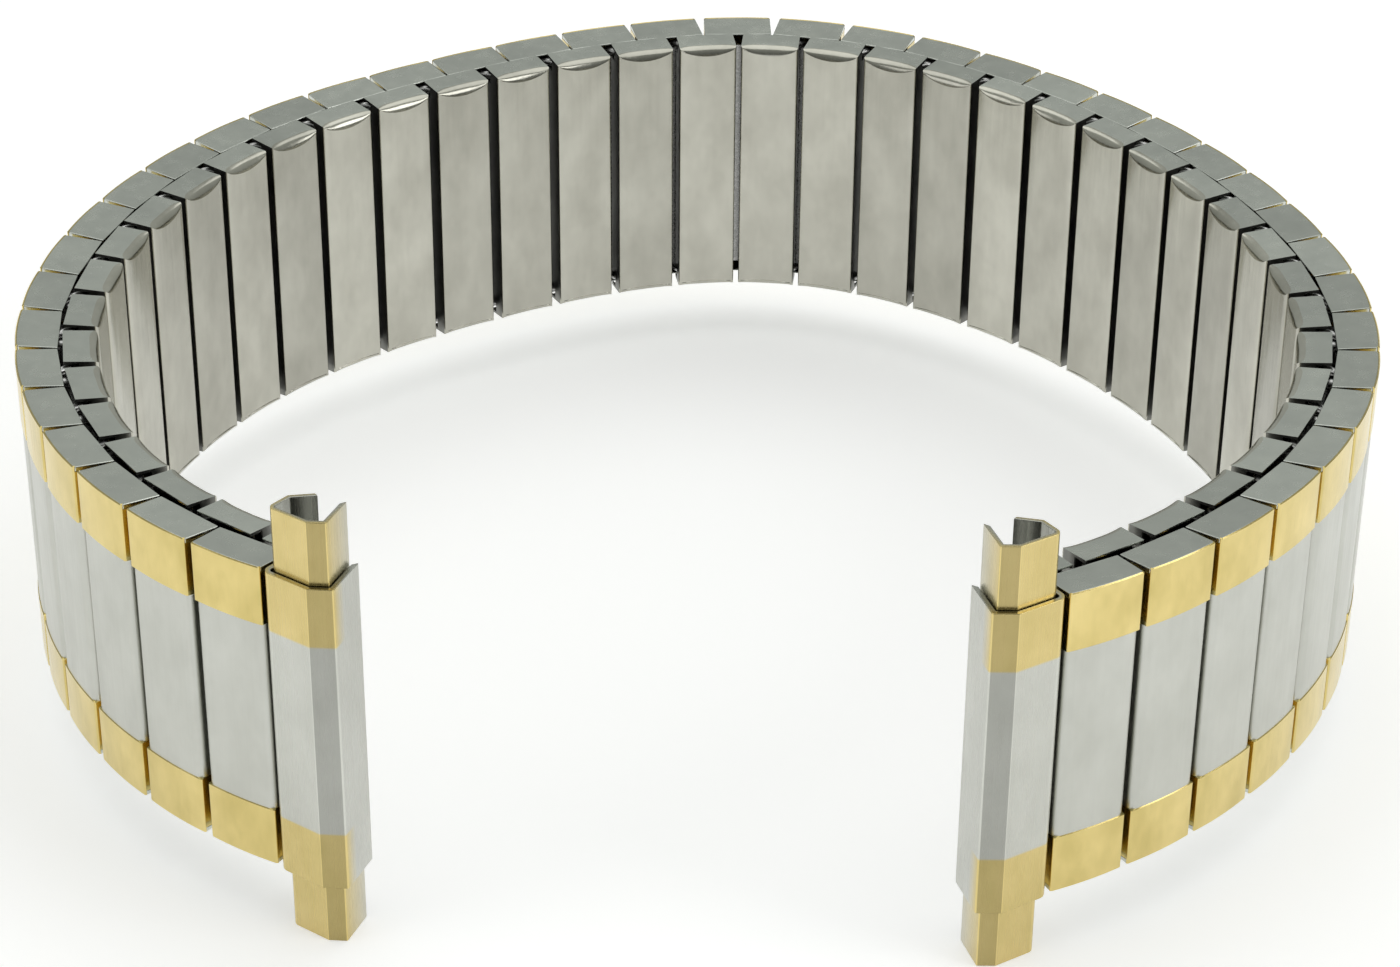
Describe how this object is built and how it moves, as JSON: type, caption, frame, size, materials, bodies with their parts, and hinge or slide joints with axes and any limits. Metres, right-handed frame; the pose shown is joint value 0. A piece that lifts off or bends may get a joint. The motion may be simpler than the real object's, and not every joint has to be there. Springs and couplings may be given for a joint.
{
  "type": "expansion watch band",
  "caption": "Two-tone expansion watch band of spring-loaded box links in two rows, curved into an open C, with telescoping end tubes for the watch's spring bars.",
  "frame": {"origin": "centre of the bounding box, on the plane of the lower tube tips", "axes": "+Z along the band's width, -Y out of the open side of the C, +X to the right seen from the open side"},
  "size_m": [0.0678, 0.0672, 0.0224],
  "materials": {
    "two_tone_steel": "satin steel with gold-plated ends on the outer row",
    "gold_plate": "brushed gold plate"
  },
  "bodies": {
    "link_pair_01": {"link_pair_01": "two_tone_steel"},
    "link_pair_02": {"link_pair_02": "two_tone_steel"},
    "link_pair_03": {"link_pair_03": "two_tone_steel"},
    "outer_link_04": {"outer_link_04": "two_tone_steel"},
    "inner_link_04": {"inner_link_04": "two_tone_steel"},
    "link_pair_05": {"link_pair_05": "two_tone_steel"},
    "link_pair_06": {"link_pair_06": "two_tone_steel"},
    "outer_link_07": {"outer_link_07": "two_tone_steel"},
    "inner_link_07": {"inner_link_07": "two_tone_steel"},
    "link_pair_08": {"link_pair_08": "two_tone_steel"},
    "link_pair_09": {"link_pair_09": "two_tone_steel"},
    "outer_link_10": {"outer_link_10": "two_tone_steel"},
    "inner_link_10": {"inner_link_10": "two_tone_steel"},
    "link_pair_11": {"link_pair_11": "two_tone_steel"},
    "link_pair_12": {"link_pair_12": "two_tone_steel"},
    "outer_link_13": {"outer_link_13": "two_tone_steel"},
    "inner_link_13": {"inner_link_13": "two_tone_steel"},
    "link_pair_14": {"link_pair_14": "two_tone_steel"},
    "link_pair_15": {"link_pair_15": "two_tone_steel"},
    "outer_link_16": {"outer_link_16": "two_tone_steel"},
    "inner_link_16": {"inner_link_16": "two_tone_steel"},
    "link_pair_17": {"link_pair_17": "two_tone_steel"},
    "link_pair_18": {"link_pair_18": "two_tone_steel"},
    "outer_link_19": {"outer_link_19": "two_tone_steel"},
    "inner_link_19": {"inner_link_19": "two_tone_steel"},
    "link_pair_20": {"link_pair_20": "two_tone_steel"},
    "middle_links_21": {"middle_links_21": "two_tone_steel"},
    "link_pair_22": {"link_pair_22": "two_tone_steel"},
    "outer_link_23": {"outer_link_23": "two_tone_steel"},
    "inner_link_23": {"inner_link_23": "two_tone_steel"},
    "link_pair_24": {"link_pair_24": "two_tone_steel"},
    "link_pair_25": {"link_pair_25": "two_tone_steel"},
    "outer_link_26": {"outer_link_26": "two_tone_steel"},
    "inner_link_26": {"inner_link_26": "two_tone_steel"},
    "link_pair_27": {"link_pair_27": "two_tone_steel"},
    "link_pair_28": {"link_pair_28": "two_tone_steel"},
    "outer_link_29": {"outer_link_29": "two_tone_steel"},
    "inner_link_29": {"inner_link_29": "two_tone_steel"},
    "link_pair_30": {"link_pair_30": "two_tone_steel"},
    "link_pair_31": {"link_pair_31": "two_tone_steel"},
    "outer_link_32": {"outer_link_32": "two_tone_steel"},
    "inner_link_32": {"inner_link_32": "two_tone_steel"},
    "link_pair_33": {"link_pair_33": "two_tone_steel"},
    "link_pair_34": {"link_pair_34": "two_tone_steel"},
    "outer_link_35": {"outer_link_35": "two_tone_steel"},
    "inner_link_35": {"inner_link_35": "two_tone_steel"},
    "link_pair_36": {"link_pair_36": "two_tone_steel"},
    "link_pair_37": {"link_pair_37": "two_tone_steel"},
    "outer_link_38": {"outer_link_38": "two_tone_steel"},
    "inner_link_38": {"inner_link_38": "two_tone_steel"},
    "link_pair_39": {"link_pair_39": "two_tone_steel"},
    "link_pair_40": {"link_pair_40": "two_tone_steel"},
    "link_pair_41": {"link_pair_41": "two_tone_steel"},
    "end_shell_left": {"end_shell_left": "two_tone_steel"},
    "end_tube_left_upper": {"end_tube_left_upper": "gold_plate"},
    "end_tube_left_lower": {"end_tube_left_lower": "gold_plate"},
    "end_shell_right": {"end_shell_right": "two_tone_steel"},
    "end_tube_right_upper": {"end_tube_right_upper": "gold_plate"},
    "end_tube_right_lower": {"end_tube_right_lower": "gold_plate"}
  },
  "joints": [
    {"name": "stretch_22", "type": "slide", "parent": "middle_links_21", "child": "link_pair_22", "axis": [0.9781, -0.2079, 0], "range_m": [0, 0.0014], "stiffness_N_per_m": 60},
    {"name": "stretch_23", "type": "slide", "parent": "link_pair_22", "child": "outer_link_23", "axis": [0.9239, -0.3827, 0], "range_m": [0, 0.0014]},
    {"name": "stretch_24", "type": "slide", "parent": "inner_link_23", "child": "link_pair_24", "axis": [0.8387, -0.5446, 0], "range_m": [0, 0.0014]},
    {"name": "stretch_25", "type": "slide", "parent": "link_pair_24", "child": "link_pair_25", "axis": [0.7793, -0.6266, 0], "range_m": [0, 0.0014]},
    {"name": "stretch_26", "type": "slide", "parent": "link_pair_25", "child": "outer_link_26", "axis": [0.712, -0.7022, 0], "range_m": [0, 0.0014]},
    {"name": "stretch_27", "type": "slide", "parent": "inner_link_26", "child": "link_pair_27", "axis": [0.6374, -0.7705, 0], "range_m": [0, 0.0014]},
    {"name": "stretch_28", "type": "slide", "parent": "link_pair_27", "child": "link_pair_28", "axis": [0.5563, -0.831, 0], "range_m": [0, 0.0014]},
    {"name": "stretch_29", "type": "slide", "parent": "link_pair_28", "child": "outer_link_29", "axis": [0.4695, -0.8829, 0], "range_m": [0, 0.0014]},
    {"name": "stretch_30", "type": "slide", "parent": "inner_link_29", "child": "link_pair_30", "axis": [0.3854, -0.9228, 0], "range_m": [0, 0.0014]},
    {"name": "stretch_31", "type": "slide", "parent": "link_pair_30", "child": "link_pair_31", "axis": [0.2979, -0.9546, 0], "range_m": [0, 0.0014]},
    {"name": "stretch_32", "type": "slide", "parent": "link_pair_31", "child": "outer_link_32", "axis": [0.2079, -0.9781, 0], "range_m": [0, 0.0014]},
    {"name": "stretch_33", "type": "slide", "parent": "inner_link_32", "child": "link_pair_33", "axis": [0.0663, -0.9978, 0], "range_m": [0, 0.0014]},
    {"name": "stretch_34", "type": "slide", "parent": "link_pair_33", "child": "link_pair_34", "axis": [-0.0767, -0.9971, 0], "range_m": [0, 0.0014]},
    {"name": "stretch_35", "type": "slide", "parent": "link_pair_34", "child": "outer_link_35", "axis": [-0.2181, -0.9759, 0], "range_m": [0, 0.0014]},
    {"name": "stretch_36", "type": "slide", "parent": "inner_link_35", "child": "link_pair_36", "axis": [-0.3551, -0.9348, 0], "range_m": [0, 0.0014]},
    {"name": "stretch_37", "type": "slide", "parent": "link_pair_36", "child": "link_pair_37", "axis": [-0.4848, -0.8746, 0], "range_m": [0, 0.0014]},
    {"name": "stretch_38", "type": "slide", "parent": "link_pair_37", "child": "outer_link_38", "axis": [-0.5983, -0.8013, 0], "range_m": [0, 0.0014]},
    {"name": "stretch_39", "type": "slide", "parent": "inner_link_38", "child": "link_pair_39", "axis": [-0.7009, -0.7133, 0], "range_m": [0, 0.0014]},
    {"name": "stretch_40", "type": "slide", "parent": "link_pair_39", "child": "link_pair_40", "axis": [-0.7907, -0.6122, 0], "range_m": [0, 0.0014]},
    {"name": "stretch_41", "type": "slide", "parent": "link_pair_40", "child": "link_pair_41", "axis": [-0.866, -0.5, 0], "range_m": [0, 0.0014]},
    {"name": "stretch_20", "type": "slide", "parent": "middle_links_21", "child": "link_pair_20", "axis": [-0.9703, -0.2419, 0], "range_m": [0, 0.0014]},
    {"name": "stretch_19", "type": "slide", "parent": "link_pair_20", "child": "outer_link_19", "axis": [-0.9336, -0.3584, 0], "range_m": [0, 0.0014]},
    {"name": "stretch_18", "type": "slide", "parent": "inner_link_19", "child": "link_pair_18", "axis": [-0.8829, -0.4695, 0], "range_m": [0, 0.0014]},
    {"name": "stretch_17", "type": "slide", "parent": "link_pair_18", "child": "link_pair_17", "axis": [-0.8511, -0.525, 0], "range_m": [0, 0.0014]},
    {"name": "stretch_16", "type": "slide", "parent": "link_pair_17", "child": "outer_link_16", "axis": [-0.8158, -0.5783, 0], "range_m": [0, 0.0014]},
    {"name": "stretch_15", "type": "slide", "parent": "inner_link_16", "child": "link_pair_15", "axis": [-0.7771, -0.6293, 0], "range_m": [0, 0.0014]},
    {"name": "stretch_14", "type": "slide", "parent": "link_pair_15", "child": "link_pair_14", "axis": [-0.6947, -0.7193, 0], "range_m": [0, 0.0014]},
    {"name": "stretch_13", "type": "slide", "parent": "link_pair_14", "child": "outer_link_13", "axis": [-0.6018, -0.7986, 0], "range_m": [0, 0.0014]},
    {"name": "stretch_12", "type": "slide", "parent": "inner_link_13", "child": "link_pair_12", "axis": [-0.5, -0.866, 0], "range_m": [0, 0.0014]},
    {"name": "stretch_11", "type": "slide", "parent": "link_pair_12", "child": "link_pair_11", "axis": [-0.3907, -0.9205, 0], "range_m": [0, 0.0014]},
    {"name": "stretch_10", "type": "slide", "parent": "link_pair_11", "child": "outer_link_10", "axis": [-0.2756, -0.9613, 0], "range_m": [0, 0.0014]},
    {"name": "stretch_09", "type": "slide", "parent": "inner_link_10", "child": "link_pair_09", "axis": [-0.1564, -0.9877, 0], "range_m": [0, 0.0014]},
    {"name": "stretch_08", "type": "slide", "parent": "link_pair_09", "child": "link_pair_08", "axis": [-0.0349, -0.9994, 0], "range_m": [0, 0.0014]},
    {"name": "stretch_07", "type": "slide", "parent": "link_pair_08", "child": "outer_link_07", "axis": [0.1045, -0.9945, 0], "range_m": [0, 0.0014]},
    {"name": "stretch_06", "type": "slide", "parent": "inner_link_07", "child": "link_pair_06", "axis": [0.2419, -0.9703, 0], "range_m": [0, 0.0014]},
    {"name": "stretch_05", "type": "slide", "parent": "link_pair_06", "child": "link_pair_05", "axis": [0.3746, -0.9272, 0], "range_m": [0, 0.0014]},
    {"name": "stretch_04", "type": "slide", "parent": "link_pair_05", "child": "outer_link_04", "axis": [0.5, -0.866, 0], "range_m": [0, 0.0014]},
    {"name": "stretch_03", "type": "slide", "parent": "inner_link_04", "child": "link_pair_03", "axis": [0.6293, -0.7771, 0], "range_m": [0, 0.0014]},
    {"name": "stretch_02", "type": "slide", "parent": "link_pair_03", "child": "link_pair_02", "axis": [0.7431, -0.6691, 0], "range_m": [0, 0.0014]},
    {"name": "stretch_01", "type": "slide", "parent": "link_pair_02", "child": "link_pair_01", "axis": [0.8387, -0.5446, 0], "range_m": [0, 0.0014]},
    {"name": "bend_04", "type": "hinge", "parent": "outer_link_04", "child": "inner_link_04", "pos_m": [-0.02794, -0.01978, 0.0112], "axis": [0, 0, 1], "range_deg": [-6, 8]},
    {"name": "bend_07", "type": "hinge", "parent": "outer_link_07", "child": "inner_link_07", "pos_m": [-0.03205, -0.00823, 0.0112], "axis": [0, 0, 1], "range_deg": [-6, 8]},
    {"name": "bend_10", "type": "hinge", "parent": "outer_link_10", "child": "inner_link_10", "pos_m": [-0.03122, 0.00399, 0.0112], "axis": [0, 0, 1], "range_deg": [-6, 8]},
    {"name": "bend_13", "type": "hinge", "parent": "outer_link_13", "child": "inner_link_13", "pos_m": [-0.02603, 0.01509, 0.0112], "axis": [0, 0, 1], "range_deg": [-6, 8]},
    {"name": "bend_16", "type": "hinge", "parent": "outer_link_16", "child": "inner_link_16", "pos_m": [-0.01726, 0.02363, 0.0112], "axis": [0, 0, 1], "range_deg": [-6, 8]},
    {"name": "bend_19", "type": "hinge", "parent": "outer_link_19", "child": "inner_link_19", "pos_m": [-0.00668, 0.02979, 0.0112], "axis": [0, 0, 1], "range_deg": [-6, 8]},
    {"name": "bend_23", "type": "hinge", "parent": "outer_link_23", "child": "inner_link_23", "pos_m": [0.01091, 0.03, 0.0112], "axis": [0, 0, 1], "range_deg": [-8, 6]},
    {"name": "bend_26", "type": "hinge", "parent": "outer_link_26", "child": "inner_link_26", "pos_m": [0.02077, 0.02269, 0.0112], "axis": [0, 0, 1], "range_deg": [-8, 6]},
    {"name": "bend_29", "type": "hinge", "parent": "outer_link_29", "child": "inner_link_29", "pos_m": [0.02788, 0.01272, 0.0112], "axis": [0, 0, 1], "range_deg": [-8, 6]},
    {"name": "bend_32", "type": "hinge", "parent": "outer_link_32", "child": "inner_link_32", "pos_m": [0.03186, 0.00114, 0.0112], "axis": [0, 0, 1], "range_deg": [-8, 6]},
    {"name": "bend_35", "type": "hinge", "parent": "outer_link_35", "child": "inner_link_35", "pos_m": [0.03144, -0.01111, 0.0112], "axis": [0, 0, 1], "range_deg": [-8, 6]},
    {"name": "bend_38", "type": "hinge", "parent": "outer_link_38", "child": "inner_link_38", "pos_m": [0.02599, -0.02208, 0.0112], "axis": [0, 0, 1], "range_deg": [-8, 6]},
    {"name": "end_pivot_left", "type": "hinge", "parent": "link_pair_01", "child": "end_shell_left", "pos_m": [-0.01726, -0.02789, 0.0112], "axis": [0, 0, 1], "range_deg": [-4, 20]},
    {"name": "tube_slide_left_upper", "type": "slide", "parent": "end_shell_left", "child": "end_tube_left_upper", "axis": [0, 0, 1], "range_m": [-0.003, 0]},
    {"name": "tube_slide_left_lower", "type": "slide", "parent": "end_shell_left", "child": "end_tube_left_lower", "axis": [0, 0, -1], "range_m": [-0.003, 0]},
    {"name": "end_pivot_right", "type": "hinge", "parent": "link_pair_41", "child": "end_shell_right", "pos_m": [0.01467, -0.02936, 0.0112], "axis": [0, 0, 1], "range_deg": [-20, 4]},
    {"name": "tube_slide_right_upper", "type": "slide", "parent": "end_shell_right", "child": "end_tube_right_upper", "axis": [0, 0, 1], "range_m": [-0.003, 0]},
    {"name": "tube_slide_right_lower", "type": "slide", "parent": "end_shell_right", "child": "end_tube_right_lower", "axis": [0, 0, -1], "range_m": [-0.003, 0]}
  ],
  "couplings": [
    {"joint": "stretch_23", "follows": "stretch_22", "ratio": 1},
    {"joint": "stretch_24", "follows": "stretch_22", "ratio": 1},
    {"joint": "stretch_25", "follows": "stretch_22", "ratio": 1},
    {"joint": "stretch_26", "follows": "stretch_22", "ratio": 1},
    {"joint": "stretch_27", "follows": "stretch_22", "ratio": 1},
    {"joint": "stretch_28", "follows": "stretch_22", "ratio": 1},
    {"joint": "stretch_29", "follows": "stretch_22", "ratio": 1},
    {"joint": "stretch_30", "follows": "stretch_22", "ratio": 1},
    {"joint": "stretch_31", "follows": "stretch_22", "ratio": 1},
    {"joint": "stretch_32", "follows": "stretch_22", "ratio": 1},
    {"joint": "stretch_33", "follows": "stretch_22", "ratio": 1},
    {"joint": "stretch_34", "follows": "stretch_22", "ratio": 1},
    {"joint": "stretch_35", "follows": "stretch_22", "ratio": 1},
    {"joint": "stretch_36", "follows": "stretch_22", "ratio": 1},
    {"joint": "stretch_37", "follows": "stretch_22", "ratio": 1},
    {"joint": "stretch_38", "follows": "stretch_22", "ratio": 1},
    {"joint": "stretch_39", "follows": "stretch_22", "ratio": 1},
    {"joint": "stretch_40", "follows": "stretch_22", "ratio": 1},
    {"joint": "stretch_41", "follows": "stretch_22", "ratio": 1},
    {"joint": "stretch_20", "follows": "stretch_22", "ratio": 1},
    {"joint": "stretch_19", "follows": "stretch_22", "ratio": 1},
    {"joint": "stretch_18", "follows": "stretch_22", "ratio": 1},
    {"joint": "stretch_17", "follows": "stretch_22", "ratio": 1},
    {"joint": "stretch_16", "follows": "stretch_22", "ratio": 1},
    {"joint": "stretch_15", "follows": "stretch_22", "ratio": 1},
    {"joint": "stretch_14", "follows": "stretch_22", "ratio": 1},
    {"joint": "stretch_13", "follows": "stretch_22", "ratio": 1},
    {"joint": "stretch_12", "follows": "stretch_22", "ratio": 1},
    {"joint": "stretch_11", "follows": "stretch_22", "ratio": 1},
    {"joint": "stretch_10", "follows": "stretch_22", "ratio": 1},
    {"joint": "stretch_09", "follows": "stretch_22", "ratio": 1},
    {"joint": "stretch_08", "follows": "stretch_22", "ratio": 1},
    {"joint": "stretch_07", "follows": "stretch_22", "ratio": 1},
    {"joint": "stretch_06", "follows": "stretch_22", "ratio": 1},
    {"joint": "stretch_05", "follows": "stretch_22", "ratio": 1},
    {"joint": "stretch_04", "follows": "stretch_22", "ratio": 1},
    {"joint": "stretch_03", "follows": "stretch_22", "ratio": 1},
    {"joint": "stretch_02", "follows": "stretch_22", "ratio": 1},
    {"joint": "stretch_01", "follows": "stretch_22", "ratio": 1}
  ]
}
